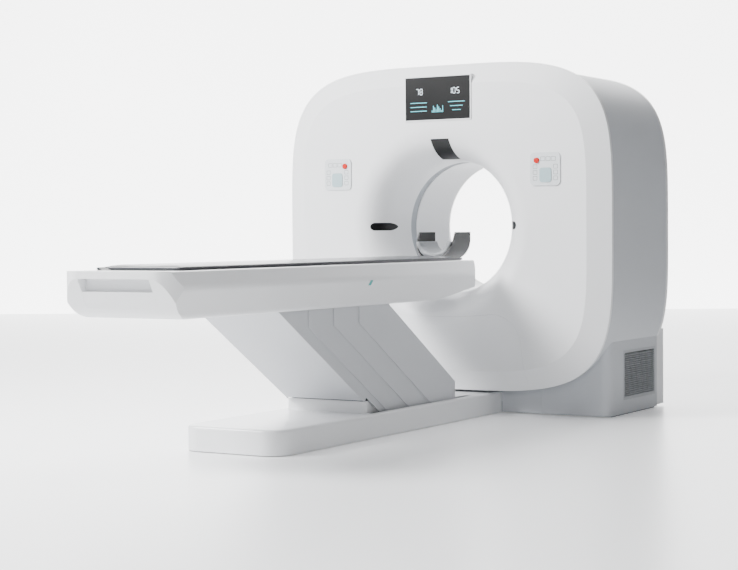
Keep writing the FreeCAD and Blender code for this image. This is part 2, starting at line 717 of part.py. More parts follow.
def tableBaseFrame():
    """Welded base ladder with the two pivot plates and the pins that the covers swing on."""
    parts = []
    for side in (-1, 1):
        parts.append(box(f"{side} * 205 - 25", f"{side} * 205 + 25", "tableFootY + 84", "baseFrontY + 44.7", 0, 50))
    for y in (-2060, -1740, -1290, -975, -720, -200):
        parts.append(box(-229, 229, y - 35, y + 35, 0, 50))
    base = fuse(helperName("Ladder"), parts)
    tools = []
    for x in (-1, 1):
        for y in (-2060, -260):
            tools.append(rod("Z", "anchorRadius", 60, x * 205, y, -5))
    doc.recompute()
    solid = cut(helperName("Ladder"), base, tools)
    doc.recompute()
    shape = solid.Shape
    top, low = s.pivotZ + 14, s.pivotZ + 8
    for side in (-1, 1):
        x = side * PLATE_IN if side > 0 else -PLATE_OUT
        heel, foot, neck = PLINTH_FOOT_Y + 4.5, FOOT_COVER_Y - 4, s.pivotZ - 16
        outline = [(heel, 49), (heel, neck), (foot, neck), (foot, top), (GANTRY_COVER_Y - 90, top), (GANTRY_COVER_Y - 30, low),
                   (GANTRY_COVER_Y + 16, low), (GANTRY_COVER_Y + 16, 49)]
        points = [V(x, y, z) for y, z in outline]
        plate = Part.Face(Part.makePolygon(points + points[:1])).extrude(V(PLATE_OUT - PLATE_IN, 0, 0))
        for y in (s.footArmY, s.gantryArmY):
            plate = plate.cut(Part.makeCylinder(s.trunnion + s.runFit, 20, V(x - 4, y, s.pivotZ), V(1, 0, 0)))
        for y, reach in PIN_ENDS:
            start = PLATE_OUT - 2 if side > 0 else -reach
            plate = plate.fuse(Part.makeCylinder(s.pinRadius, reach - PLATE_OUT + 2, V(start, y, s.pivotZ), V(1, 0, 0)))
        shape = shape.fuse(plate)
    return shaped("table_base_frame", shape.removeSplitter())


def tableBaseCover():
    """Low white cover with a rounded foot end, two slots for the slats and a raised plinth."""
    w, h, foot = s.tableHalfWidth, s.tableBaseHeight, s.tableFootY
    rear = s.baseFrontY - 0.5

    def slab(inset, top, bottom):
        body = partBox(-w + inset, w - inset, foot + inset, rear + (20 if inset else 0), bottom, top)
        ends = [e for e in body.Edges if abs(e.CenterOfMass.y - (foot + inset)) < 0.01
                and abs(e.tangentAt(e.FirstParameter).z) > 0.9]
        body = body.makeFillet(100 - inset, ends)
        rimEdges = [e for e in body.Edges if e.BoundBox.ZMin > top - 0.01 and e.BoundBox.YMin < rear - 1]
        return body.makeFillet(14 - inset, rimEdges)

    shell = slab(0, h, 4).cut(slab(s.sheetWall, h - s.sheetWall, -10))
    plinthFoot, plinthRear, plinthTop = PLINTH_FOOT_Y, -530.0, 172.0
    plinth = partBox(-205, 205, plinthFoot, plinthRear, h - s.sheetWall, plinthTop)
    lip = partBox(-222, 222, plinthFoot, plinthFoot + 18, h - s.sheetWall, plinthTop)
    shell = shell.fuse([plinth, lip])
    shell = shell.cut(partBox(-201, 201, plinthFoot + 4, plinthRear - 4, h - 40, plinthTop + 10))
    for side in (-1, 1):
        x0, x1 = (206, 242) if side > 0 else (-242, -206)
        shell = shell.cut(partBox(x0, x1, plinthFoot + 18, -400, h - 20, h + 5))
    return shaped("table_base_cover", shell.removeSplitter())


def linkPoint(y, along, across=0.0):
    """A point on a link: along it from its lower pivot, and across it towards the gantry and up."""
    return V(0, y - along * math.cos(PHI) + across * math.sin(PHI),
             s.pivotZ + along * math.sin(PHI) + across * math.cos(PHI))


def bar(y, x0, x1, a0, a1, c0, c1):
    """A straight bar along a link, between two stations along it and two offsets across it."""
    points = [linkPoint(y, a0, c0), linkPoint(y, a1, c0), linkPoint(y, a1, c1), linkPoint(y, a0, c1)]
    points = [V(x0, p.y, p.z) for p in points]
    return Part.Face(Part.makePolygon(points + points[:1])).extrude(V(x1 - x0, 0, 0))


def crossTube(y, along, radius, reach):
    p = linkPoint(y, along)
    return Part.makeCylinder(radius, 2 * reach, V(-reach, p.y, p.z), V(1, 0, 0))


LEVER = 120.0
LINK_TOP_Z = 680.0


def liftArm(name, y, barIn, lever):
    """Two bars joined by the tubes whose ends turn in the pivot plates."""
    depth, end = 18.0, 16.0
    shape = crossTube(y, 0, s.trunnion, 194).fuse(crossTube(y, s.linkLength, s.trunnion, 194))
    for x in (-barIn - 20, barIn):
        shape = shape.fuse(bar(y, x, x + 20, -end, s.linkLength + end, -depth, depth))
    shape = shape.fuse(bar(y, -barIn - 1, barIn + 1, 330, 380, -10, 10))
    if lever:
        pin = leverPin()
        plate = Part.makeBox(20, 26, LEVER, V(-10, -13, -LEVER))
        plate.rotate(V(0, 0, 0), V(1, 0, 0), -leverLean())
        plate.translate(V(0, y, s.pivotZ))
        shape = shape.fuse(plate).fuse(Part.makeCylinder(10, 56, V(-28, pin.y, pin.z), V(1, 0, 0)))
    return shaped(name, shape.removeSplitter())


def leverLean():
    """Lean of the lever towards the foot, so that it hangs straight at mid lift."""
    return 6.0


def leverPin():
    lean = math.radians(leverLean())
    return V(0, s.footArmY - LEVER * math.sin(lean), s.pivotZ - LEVER * math.cos(lean))


def pinHoles(shape, y, face):
    """Blind holes for the pins at both ends of a cover link, from its inner faces outwards."""
    reach = face + PIN_DEPTH
    for along in (0, s.linkLength):
        p = linkPoint(y, along)
        shape = shape.cut(Part.makeCylinder(s.pinRadius + s.runFit, 2 * reach, V(-reach, p.y, p.z), V(1, 0, 0)))
    return shape


def footSlopeCover():
    """Slanted foot-side cover with its two side flanges, moulded as one."""
    y, thick, flangeReach = FOOT_COVER_Y, 4.0, 70.0
    outer = FOOT_FLANGE_X + SLAT_THICK
    shape = bar(y, -outer, outer, 6, s.linkLength + 80, -20, -20 + thick)
    keep = partBox(-300, 300, -3000, 0, 110, LINK_TOP_Z)
    for x in (-outer, FOOT_FLANGE_X):
        flange = bar(y, x, x + SLAT_THICK, -10, s.linkLength + 60, -20, flangeReach)
        heel = bar(y, x, x + SLAT_THICK, -260, 0, 6, flangeReach)
        shoulder = bar(y, x, x + SLAT_THICK, s.linkLength - 180, s.linkLength + 60, flangeReach - 10, flangeReach + 42)
        shape = shape.fuse(flange.fuse([heel, shoulder]).common(keep))
    return shaped("foot_slope_cover", pinHoles(shape.removeSplitter(), y, FOOT_FLANGE_X))


def slat(index, side):
    """One side slat: a slanted plate with upright top and bottom ends, on its own layer."""
    front, back = SLAT_LINES[index]
    y = slatPivot(index)
    footSide = (back - front - FROM_BACK[index]) * math.sin(PHI)
    gantrySide = FROM_BACK[index] * math.sin(PHI)
    x = SLAT_LAYERS[index]
    x0 = x if side > 0 else -x - SLAT_THICK
    last = index == len(SLAT_LINES) - 1
    plate = bar(y, x0, x0 + SLAT_THICK, -260, s.linkLength + 260, -footSide, gantrySide)
    if not last:
        plate = plate.fuse(bar(y, x0, x0 + SLAT_THICK, s.linkLength - 70, s.linkLength + 260, 0, 50)).removeSplitter()
    footLimit = front - (548.0 - LINE_Z) * SLOPE
    rearLimit = GANTRY_COVER_Y - 18 if last else 0
    plate = plate.common(partBox(-300, 300, footLimit, rearLimit, 110, LINK_TOP_Z))
    plate = pinHoles(plate, y, x)
    word = "right" if side > 0 else "left"
    return shaped(f"{word}_slat_{index + 1}", plate)


def gantrySlopeCover():
    y, thick = GANTRY_COVER_Y, 4.0
    outer = GANTRY_FLANGE_X + SLAT_THICK
    shape = bar(y, -outer, outer, 14, s.linkLength - 26, 12, 12 + thick)
    for x in (-outer, GANTRY_FLANGE_X):
        shape = shape.fuse(bar(y, x, x + SLAT_THICK, -10, s.linkLength + 10, -10, 16))
    return shaped("gantry_slope_cover", pinHoles(shape, y, GANTRY_FLANGE_X))


def liftActuator():
    """Screw actuator lying in the base: a fixed barrel with its gearbox, and the sliding rod with its fork."""
    z = leverPin().z
    barrel = Part.makeCylinder(z - 50, 470, V(0, -1760, z), V(0, 1, 0))
    barrel = barrel.fuse(partBox(-45, 45, -1800, -1700, 50.0, z + 26))
    barrel = barrel.cut(Part.makeCylinder(12 + s.runFit, 400, V(0, -1680, z), V(0, 1, 0)))
    shaped("lift_actuator_barrel", barrel)
    pin = leverPin()
    screw = Part.makeCylinder(12, 560, V(0, -1620, z), V(0, 1, 0))
    yoke = partBox(-26, 26, -1062, pin.y + 22, z - 11, z + 11)
    yoke = yoke.cut(partBox(-13, 13, -1046, pin.y + 40, z - 30, z + 30))
    yoke = yoke.cut(Part.makeCylinder(15, 80, V(-40, pin.y, pin.z), V(1, 0, 0)))
    yoke = yoke.fuse(partBox(-26, -13, pin.y - 24, pin.y + 24, z - 19, z + 19))
    yoke = yoke.fuse(partBox(13, 26, pin.y - 24, pin.y + 24, z - 19, z + 19))
    yoke = yoke.cut(Part.makeCylinder(15, 80, V(-40, pin.y, pin.z), V(1, 0, 0)))
    shaped("lift_actuator_rod", screw.fuse(yoke).removeSplitter())


def tableLift():
    tableBaseFrame()
    tableBaseCover()
    liftArm("foot_arm", s.footArmY, 115.0, True)
    liftArm("gantry_arm", s.gantryArmY, 155.0, False)
    footSlopeCover()
    for index in range(3):
        slat(index, 1)
        slat(index, -1)
    gantrySlopeCover()
    liftActuator()


# ---------------------------------------------------------------- table top
def profile(points, x=None, y=None):
    if y is not None:
        return [V(a, y, b) for a, b in points]
    return [V(x, a, b) for a, b in points]


TOP_ROUND, CREASE_ROUND, BOTTOM_ROUND = 12.0, 50.0, 28.0


def housingSolid(inset):
    """The table top's outer form: a six-sided section, rounded in plan and turned up at both ends."""
    t, c, b = s.shellTopZ - inset, s.shellCreaseZ, s.shellBottomZ + inset
    w = s.shellHalfWidth - inset
    section = profile([(-w + 32, t), (w - 32, t), (w, c), (w - 38, b), (-w + 38, b), (-w, c)], y=s.shellFootY - 50)
    body = Part.Face(Part.makePolygon(section + section[:1])).extrude(V(0, s.shellNoseY - s.shellFootY + 100, 0))
    for height, radius in ((t, TOP_ROUND), (c, CREASE_ROUND), (b, BOTTOM_ROUND)):
        lines = [e for e in body.Edges if abs(e.CenterOfMass.z - height) < 0.01 and e.Length > 1000]
        body = body.makeFillet(radius - inset, lines)
    foot, nose = s.shellFootY + inset, s.shellNoseY - inset
    plan = partBox(-w - 1, w + 1, foot, nose, b - 50, t + 50)
    upright = [e for e in plan.Edges if abs(e.tangentAt(e.FirstParameter).z) > 0.9]
    footEdges = [e for e in upright if e.CenterOfMass.y < foot + 1]
    noseEdges = [e for e in upright if e.CenterOfMass.y > nose - 1]
    plan = plan.makeFillet(112 - inset, footEdges)
    noseEdges = [e for e in plan.Edges if e.CenterOfMass.y > nose - 1 and abs(e.tangentAt(e.FirstParameter).z) > 0.9]
    plan = plan.makeFillet(80 - inset, noseEdges)
    body = body.common(plan)
    x = -w - 60
    bend = s.shellBottomZ + 171
    corners = [V(x, y, z) for y, z in (
        (foot + 190, b), (nose - 400, b), (nose + 60, b + 71), (nose + 60, t + 60), (foot - 60, t + 60),
        (foot - 60, bend), (foot - 3, bend), (foot + 50, b + 65))]
    side = [Part.LineSegment(a, b2).toShape() for a, b2 in zip(corners, corners[1:])]
    side.append(Part.Arc(corners[-1], V(x, foot + 85, b + 25), corners[0]).toShape())
    return body.common(Part.Face(Part.Wire(side)).extrude(V(2 * w + 120, 0, 0)))


CAP_HALF, CAP_DEPTH = 186.0, 64.0
OPENING_HALF, OPENING_FOOT_Y, OPENING_NOSE_Y = 240.0, -2195.0, -814.5


def tableShell():
    """Moulded housing of the table top, open along its deck for the cradle and below for the lift."""
    outer = housingSolid(0)
    shell = outer.cut(housingSolid(s.sheetWall))
    deckHalf = s.cradleHalfWidth + 5
    shell = shell.cut(partBox(-deckHalf, deckHalf, s.cradleFootY - 8, s.shellNoseY + 50, s.cradleBottomZ - 8, 900))
    shell = shell.cut(partBox(-OPENING_HALF, OPENING_HALF, OPENING_FOOT_Y, OPENING_NOSE_Y, 600, s.shellBottomZ + 30))
    capZone = partBox(-CAP_HALF, CAP_HALF, s.shellFootY - 50, s.shellFootY + CAP_DEPTH, 600, 900)
    shell = shell.cut(capZone)
    solids = sorted(shell.Solids, key=lambda solid: -solid.Volume)
    shaped("table_shell", solids[0])
    cap = outer.common(partBox(-CAP_HALF + SEAM, CAP_HALF - SEAM, s.shellFootY - 50, s.shellFootY + CAP_DEPTH - SEAM,
                               600, 900))
    recess = CAP_HALF - SEAM - 2
    cap = cap.cut(partBox(-recess, recess, s.shellFootY - 50, s.shellFootY + CAP_DEPTH - 10, 742, 795))
    shaped("foot_cap", cap)


def undersidePan():
    """Flat panel that closes the gantry end of the opening for the links."""
    half, z0 = OPENING_HALF - 0.5, s.shellBottomZ
    return shaped("underside_pan", partBox(-half, half, -1140, OPENING_NOSE_Y - 0.5, z0, z0 + s.sheetWall))


def tableFrame():
    """Steel frame inside the table top: two beams, cross beams, pivot plates and roller brackets."""
    z0, z1 = 700.0, 756.0
    shape = None
    for side in (-1, 1):
        x0 = side * 175 - 25
        beam = partBox(x0, x0 + 50, -2900, -470, z0, z1)
        shape = beam if shape is None else shape.fuse(beam)
        x = PLATE_IN if side > 0 else -PLATE_OUT
        foot, gantry = FOOT_COVER_Y - RUN, GANTRY_COVER_Y - RUN
        outline = [(foot - 8, z0 + 10), (foot - 8, UPPER_Z - 8), (foot + 30, UPPER_Z - 8),
                   (foot + 90, UPPER_Z - 14), (gantry + 24, UPPER_Z - 14), (gantry + 24, z0 + 10)]
        points = [V(x, a, b) for a, b in outline]
        plate = Part.Face(Part.makePolygon(points + points[:1])).extrude(V(PLATE_OUT - PLATE_IN, 0, 0))
        for y in (s.footArmY, s.gantryArmY):
            p = linkPoint(y, s.linkLength)
            plate = plate.cut(Part.makeCylinder(s.trunnion + s.runFit, 20, V(x - 4, p.y, p.z), V(1, 0, 0)))
        for y, reach in PIN_ENDS:
            p = linkPoint(y, s.linkLength)
            start = PLATE_OUT - 2 if side > 0 else -reach
            plate = plate.fuse(Part.makeCylinder(s.pinRadius, reach - PLATE_OUT + 2, V(start, p.y, p.z), V(1, 0, 0)))
        shape = shape.fuse(plate)
    for y in (-2600, -660):
        shape = shape.fuse(partBox(-250, 250, y - 20, y + 20, z0, z1 - 16))
        for side in (-1, 1):
            x0 = 226 if side > 0 else -250
            post = partBox(x0, x0 + 24, y - 20, y + 20, z0, s.shellTopZ - s.sheetWall - 0.3)
            shape = shape.fuse(post)
    shape = shape.fuse(partBox(-200, 200, -1840, -1700, z0, z0 + 12))
    for x in (-172, 160):
        bracket = partBox(x, x + 12, -510, -478, z1 - 10, 790)
        bracket = bracket.cut(Part.makeCylinder(8.3, 20, V(x - 4, NOSE_ROLLER_Y, ROLLER_Z), V(1, 0, 0)))
        shape = shape.fuse(bracket)
    for x in (-62, 40):
        shape = shape.fuse(partBox(x, x + 10, -1800, -1740, z0, z0 + 20))
    return shaped("table_frame", shape.removeSplitter())


ROLLER_RADIUS = 18.0
NOSE_ROLLER_Y = -494.0
ROLLER_Z = s.cradleBottomZ - s.runFit - ROLLER_RADIUS
WHEEL_RADIUS = 40.0
WHEEL_Y = -1770.0
WHEEL_Z = s.cradleBottomZ - s.runFit - WHEEL_RADIUS


def cradleDrive():
    """Front support roller, and the motor whose wheel drives the cradle from below."""
    roller = Part.makeCylinder(ROLLER_RADIUS, 296, V(-148, NOSE_ROLLER_Y, ROLLER_Z), V(1, 0, 0))
    roller = roller.fuse(Part.makeCylinder(8, 344, V(-172, NOSE_ROLLER_Y, ROLLER_Z), V(1, 0, 0)))
    shaped("nose_roller", roller)
    wheel = Part.makeCylinder(WHEEL_RADIUS, 24, V(-12, WHEEL_Y, WHEEL_Z), V(1, 0, 0))
    wheel = wheel.fuse(Part.makeCylinder(8, 40, V(0, WHEEL_Y, WHEEL_Z), V(1, 0, 0)))
    shaped("drive_wheel", wheel)
    motor = Part.makeCylinder(34, 108, V(40.3, WHEEL_Y, WHEEL_Z), V(1, 0, 0))
    motor = motor.fuse(partBox(60, 130, WHEEL_Y - 30, WHEEL_Y + 30, 712.0, WHEEL_Z))
    shaped("cradle_motor", motor)


def cradleSection(y, halfBottom, halfTop, bottom, wing, edge, floor, lift):
    """Half tray outlines joined: flat bottom, sloped wings and upright edges."""
    return profile([(-halfTop, edge), (-halfTop, wing), (-halfBottom, bottom), (halfBottom, bottom), (halfTop, wing),
                    (halfTop, edge), (halfTop - 6, edge), (halfTop - 6, wing + lift), (halfBottom - 2, floor),
                    (-halfBottom + 2, floor), (-halfTop + 6, wing + lift), (-halfTop + 6, edge)], y=y)


def cradleAndPads():
    half, low = s.cradleHalfWidth, s.cradleBottomZ
    length = s.cradleNoseY - s.cradleFootY
    section = cradleSection(s.cradleFootY, 150, half, low, low + 23, low + 32, low + 6, 7)
    cradle = Part.Face(Part.makePolygon(section + section[:1])).extrude(V(0, length, 0))
    tongue = partBox(-60, 60, s.cradleNoseY - 40, s.cradleNoseY + 130, low + 5.5, low + 12)
    shaped("cradle", cradle.fuse(tongue).removeSplitter())
    gap, top = 0.4, 847.0
    inner = half - 6 - gap
    pad_ = profile([(-inner, low + 30.5), (-148, low + 6 + gap), (148, low + 6 + gap), (inner, low + 30.5),
                    (inner, top - 6), (inner - 8, top), (-inner + 8, top), (-inner, top - 6)], y=s.cradleFootY + 20)
    mattress = Part.Face(Part.makePolygon(pad_ + pad_[:1])).extrude(V(0, length - 65, 0))
    shaped("mattress", mattress)
    holderZ = low + 12.3
    radius, centreZ, topZ = 112.0, holderZ + 3 + 112, 973.0
    y0, y1 = s.cradleNoseY + 50, -168.0
    outer = Part.makeCylinder(radius, y1 - y0, V(0, y0, centreZ), V(0, 1, 0))
    outer = outer.common(partBox(-200, 200, y0, y1, holderZ, centreZ))
    outer = outer.fuse(partBox(-radius, radius, y0, y1, centreZ, topZ))
    inner_ = Part.makeCylinder(radius - 7, y1 - y0 + 2, V(0, y0 - 1, centreZ), V(0, 1, 0))
    inner_ = inner_.fuse(partBox(-radius + 7, radius - 7, y0 - 1, y1 + 1, centreZ, topZ + 5))
    trough = outer.cut(inner_)
    slant = [V(-200, y0 - 1, holderZ + 20), V(-200, y0 - 1, topZ + 1), V(-200, y0 + 70, topZ + 1)]
    trough = trough.cut(Part.Face(Part.makePolygon(slant + slant[:1])).extrude(V(400, 0, 0)))
    foot = partBox(-58, 58, y0, s.cradleNoseY + 130, holderZ, holderZ + 14)
    foot = foot.cut(Part.makeCylinder(radius - 1, y1 - y0 + 2, V(0, y0 - 1, centreZ), V(0, 1, 0)))
    shaped("head_holder", trough.fuse(foot).removeSplitter())
    cushion = Part.makeCylinder(radius - 7 - gap, y1 - y0 - 30, V(0, y0 + 20, centreZ), V(0, 1, 0))
    cushion = cushion.cut(Part.makeCylinder(78, y1 - y0 + 2, V(0, y0 - 1, centreZ + 4), V(0, 1, 0)))
    cushion = cushion.common(partBox(-200, 200, y0, y1, holderZ, centreZ - 4))
    shaped("head_cushion", cushion)


def indicatorLamp():
    """Small lamp in the right side of the housing."""
    y, z = -1508.0, 739.0
    outline = [(y - 18, z - 12), (y + 8, z - 12), (y + 20, z + 12), (y - 6, z + 12)]
    region = Part.Face(Part.makePolygon([V(270, a, b) for a, b in outline + outline[:1]])).extrude(V(60, 0, 0))
    shell = doc.getObject("table_shell")
    lamp = shell.Shape.common(region)
    shaped("indicator_lamp", lamp)
    shell.Shape = shell.Shape.cut(region)


def tableTop():
    tableShell()
    undersidePan()
    tableFrame()
    cradleDrive()
    cradleAndPads()
    indicatorLamp()


PARTS = """gantry_base stator_frame bearing_outer_race bearing_inner_race bearing_balls rotor_drum xray_tube collimator
hv_generator detector_arc slip_ring drive_motor motor_pulley drive_belt front_cover docking_panel base_front_panel
left_casing right_casing left_grille right_grille rear_cover scan_window display_housing display_glass
left_control_panel right_control_panel left_stop_button right_stop_button left_table_pad right_table_pad top_window
left_laser_window right_laser_window table_base_frame table_base_cover foot_arm gantry_arm foot_slope_cover
left_slat_1 left_slat_2 left_slat_3 right_slat_1 right_slat_2 right_slat_3 gantry_slope_cover lift_actuator_barrel
lift_actuator_rod table_frame table_shell foot_cap underside_pan cradle mattress head_holder head_cushion nose_roller
drive_wheel cradle_motor indicator_lamp""".split()

gantryInside()
gantryCovers()
tableLift()
tableTop()
doc.recompute()

problems = []
for obj in doc.Objects:
    if "Invalid" in obj.State or "Error" in obj.State:
        problems.append(f"{obj.Name}: {obj.State}")
for name in PARTS:
    obj = doc.getObject(name)
    if obj is None or obj.Shape.isNull() or not obj.Shape.isValid() or not obj.Shape.Solids:
        problems.append(f"{name}: no valid solid")
if problems:
    sys.exit("\n".join(problems))
os.makedirs("parts", exist_ok=True)
for name in PARTS:
    obj = doc.getObject(name)
    obj.Label = name
    obj.Shape.exportStep(f"parts/{name}.step")
print(len(PARTS), "sub-parts written")
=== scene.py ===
import bpy
import bmesh
import json
import math
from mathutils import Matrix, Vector


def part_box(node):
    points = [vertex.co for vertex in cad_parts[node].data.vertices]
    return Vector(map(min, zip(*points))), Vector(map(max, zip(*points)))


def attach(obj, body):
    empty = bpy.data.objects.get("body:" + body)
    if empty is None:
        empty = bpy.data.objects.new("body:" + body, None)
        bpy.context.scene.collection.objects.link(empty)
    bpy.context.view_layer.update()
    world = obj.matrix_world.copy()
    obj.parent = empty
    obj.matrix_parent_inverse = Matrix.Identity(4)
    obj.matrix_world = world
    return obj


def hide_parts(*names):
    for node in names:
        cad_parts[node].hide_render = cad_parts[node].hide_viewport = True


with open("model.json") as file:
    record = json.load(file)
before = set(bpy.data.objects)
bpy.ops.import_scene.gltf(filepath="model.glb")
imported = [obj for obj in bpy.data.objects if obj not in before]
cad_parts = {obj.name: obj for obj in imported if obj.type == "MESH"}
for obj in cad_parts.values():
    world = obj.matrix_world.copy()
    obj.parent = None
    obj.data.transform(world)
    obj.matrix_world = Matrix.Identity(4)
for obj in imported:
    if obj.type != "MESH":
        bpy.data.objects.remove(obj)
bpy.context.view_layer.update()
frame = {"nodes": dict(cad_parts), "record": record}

nodes = frame["nodes"]
bodyOf = {node: body for body, names in frame["record"]["behaviour"]["bodies"].items() for node in names}


# ---------- colour and material helpers
def srgb(code, alpha=1.0):
    """A hex colour as linear RGBA."""
    parts = [int(code[i:i + 2], 16) / 255 for i in (0, 2, 4)]
    linear = [c / 12.92 if c <= 0.04045 else ((c + 0.055) / 1.055) ** 2.4 for c in parts]
    return (*linear, alpha)


def addNode(tree, kind, settings=None, links=None):
    """Adds a shader node, sets its sockets and links others to them."""
    node = tree.nodes.new(kind)
    for name, value in (settings or {}).items():
        if hasattr(node, name) and name not in node.inputs:
            setattr(node, name, value)
        else:
            node.inputs[name].default_value = value
    for name, source in (links or {}).items():
        tree.links.new(source, node.inputs[name])
    return node


def material(name, colour, roughness, variation=0.04, patternSize=0.12, bump=0.0, bumpSize=0.002, metallic=0.0,
             coat=0.0, ior=1.5, roughSpread=0.06):
    """A surface whose tone and polish wander a little, with a fine grain."""
    mat = bpy.data.materials.new(name)
    mat.use_nodes = True
    tree = mat.node_tree
    tree.nodes.clear()
    out = tree.nodes.new("ShaderNodeOutputMaterial")
    coords = addNode(tree, "ShaderNodeTexCoord")
    tone = addNode(tree, "ShaderNodeTexNoise", {"Scale": 1 / patternSize, "Detail": 4.0, "Roughness": 0.55},
                   {"Vector": coords.outputs["Object"]})
    base = srgb(colour)
    low = tuple(c * (1 - variation) for c in base[:3]) + (1,)
    high = tuple(min(1, c * (1 + variation)) for c in base[:3]) + (1,)
    mix = addNode(tree, "ShaderNodeMix", {"data_type": "RGBA"})
    mix.inputs[6].default_value = low
    mix.inputs[7].default_value = high
    tree.links.new(tone.outputs["Fac"], mix.inputs[0])
    polish = addNode(tree, "ShaderNodeMapRange", {"To Min": max(0.02, roughness - roughSpread),
                                                  "To Max": min(1.0, roughness + roughSpread)},
                     {"Value": tone.outputs["Fac"]})
    shader = addNode(tree, "ShaderNodeBsdfPrincipled", {"Metallic": metallic, "Coat Weight": coat},
                     {"Base Color": mix.outputs[2], "Roughness": polish.outputs["Result"]})
    if not metallic:
        shader.inputs["IOR"].default_value = ior
    if bump:
        grain = addNode(tree, "ShaderNodeTexNoise", {"Scale": 1 / bumpSize, "Detail": 2.0},
                        {"Vector": coords.outputs["Object"]})
        relief = addNode(tree, "ShaderNodeBump", {"Strength": bump, "Distance": bumpSize * 0.2},
                         {"Height": grain.outputs["Fac"]})
        tree.links.new(relief.outputs["Normal"], shader.inputs["Normal"])
    tree.links.new(shader.outputs["BSDF"], out.inputs["Surface"])
    return mat


def glow(name, colour, strength):
    """A lit symbol: an even colour that gives a little light of its own."""
    mat = bpy.data.materials.new(name)
    mat.use_nodes = True
    tree = mat.node_tree
    tree.nodes.clear()
    out = tree.nodes.new("ShaderNodeOutputMaterial")
    coords = addNode(tree, "ShaderNodeTexCoord")
    tone = addNode(tree, "ShaderNodeTexNoise", {"Scale": 60.0}, {"Vector": coords.outputs["Object"]})
    power = addNode(tree, "ShaderNodeMapRange", {"To Min": strength * 0.92, "To Max": strength * 1.08},
                    {"Value": tone.outputs["Fac"]})
    shader = addNode(tree, "ShaderNodeBsdfPrincipled", {"Base Color": srgb(colour), "Emission Color": srgb(colour),
                                                       "Roughness": 0.3}, {"Emission Strength": power.outputs["Result"]})
    tree.links.new(shader.outputs["BSDF"], out.inputs["Surface"])
    return mat


materials = {
    # Satin white moulded plastic: soft broad highlights on the big covers.
    "whiteMoulding": material("white_plastic_satin", "E9EAEC", 0.34, 0.012, 0.5, 0.05, 0.0015, coat=0.15, roughSpread=0.03),
    # White paint on the casing: a touch greyer and flatter than the front cover.
    "casingPaint": material("casing_paint_satin", "C3C6CB", 0.42, 0.012, 0.5, 0.05, 0.0015, roughSpread=0.03),
    # Slats and slanted covers: matt paint that reads mid grey in the shade below the table.
    "slatPaint": material("slat_paint_matt", "C8CACE", 0.5, 0.015, 0.3, 0.06, 0.0015),
    # Grey structural paint of the frames inside.
    "framePaint": material("frame_paint_grey", "6F747B", 0.55, 0.06, 0.2, 0.15, 0.003),
    "castAluminium": material("cast_aluminium_machined", "B9BCC0", 0.35, 0.05, 0.15, 0.1, 0.002, metallic=1.0),
    "brightSteel": material("steel_ground", "A6A9AD", 0.25, 0.05, 0.1, 0.05, 0.001, metallic=1.0),
    "bearingSteel": material("bearing_steel_polished", "C4C6C9", 0.15, 0.04, 0.1, metallic=1.0),
    # Gloss black acrylic of the windows and the display.
    "blackAcrylic": material("acrylic_black_gloss", "08090B", 0.3, 0.2, 0.2, ior=1.35, roughSpread=0.03),
    "holderLaminate": material("laminate_black_gloss", "0A0A0B", 0.32, 0.2, 0.1, ior=1.38, roughSpread=0.04),
    "cradleLaminate": material("laminate_dark_grey", "35373A", 0.3, 0.08, 0.15, 0.06, 0.001),
    # Upholstery vinyl: low sheen with a fine pebble grain.
    "vinyl": material("vinyl_dark_grey", "4A4C50", 0.36, 0.08, 0.1, 0.15, 0.0016, coat=0.35),
    "cushionVinyl": material("vinyl_mid_grey", "8A8D91", 0.55, 0.06, 0.1, 0.3, 0.0016),
    "windowFilm": material("window_film_grey", "9FA4AA", 0.45, 0.04, 0.2, roughSpread=0.04),
    "keypad": material("keypad_film_grey", "D4D8DB", 0.4, 0.02, 0.05, 0.05, 0.001),
    "stopRed": material("plastic_red_gloss", "C3241C", 0.25, 0.08, 0.01, coat=0.3),
    "padBlue": material("keypad_soft_blue", "9DB6BC", 0.5, 0.04, 0.03, 0.05, 0.001),
    "belt": material("rubber_belt_black", "151515", 0.75, 0.15, 0.03, 0.2, 0.002),
    "rubber": material("rubber_dark", "1D1D1E", 0.7, 0.12, 0.03, 0.2, 0.001),
    "grille": material("grille_plastic_grey", "B3B6BA", 0.5, 0.03, 0.1, 0.05, 0.001),
    "displayBezel": material("bezel_plastic_white", "E4E6E8", 0.35, 0.015, 0.1),
    "teal": material("lamp_lens_teal", "2E9C9B", 0.2, 0.06, 0.01, coat=0.4),
    # Lit figures of the display.
    "glowWhite": glow("display_light_white", "DCE8F0", 1.4),
    "glowTeal": glow("display_light_teal", "58B7C4", 1.1),
    "markGrey": material("print_ink_grey", "5F656C", 0.5, 0.05, 0.02),
}

